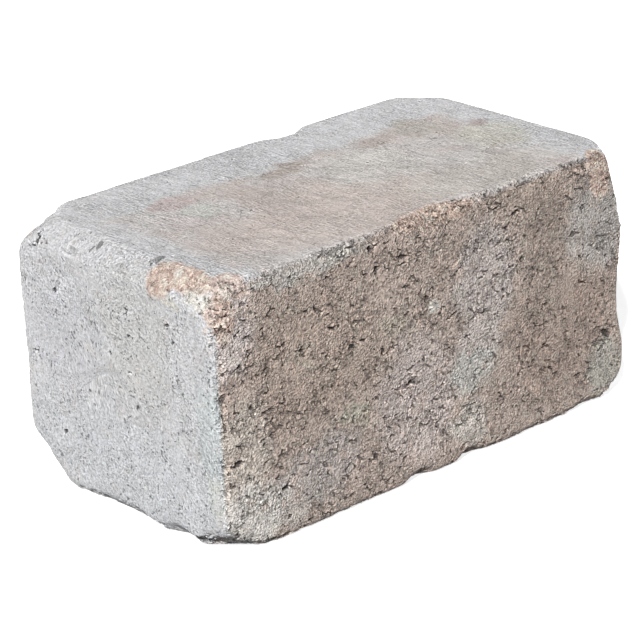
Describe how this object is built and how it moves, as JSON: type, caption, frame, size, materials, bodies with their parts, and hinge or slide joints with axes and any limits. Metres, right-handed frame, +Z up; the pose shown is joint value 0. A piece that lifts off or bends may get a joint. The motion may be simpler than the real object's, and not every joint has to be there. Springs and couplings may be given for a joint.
{
  "type": "concrete wall block",
  "caption": "Solid rectangular block of cast concrete for a garden or retaining wall, with tumbled round edges, broken corners, smooth beds and ends and pitted long faces.",
  "frame": {"origin": "middle of the bottom bed's outline, on the surface that the block rests on", "axes": "+X along the block from its near end to its far end, +Y from its front face to its rear face, +Z up through its height"},
  "size_m": [0.305, 0.17, 0.152],
  "materials": {
    "concrete": "matt, as cast and tumbled"
  },
  "bodies": {
    "root": {"wall_block": "concrete"}
  },
  "joints": []
}
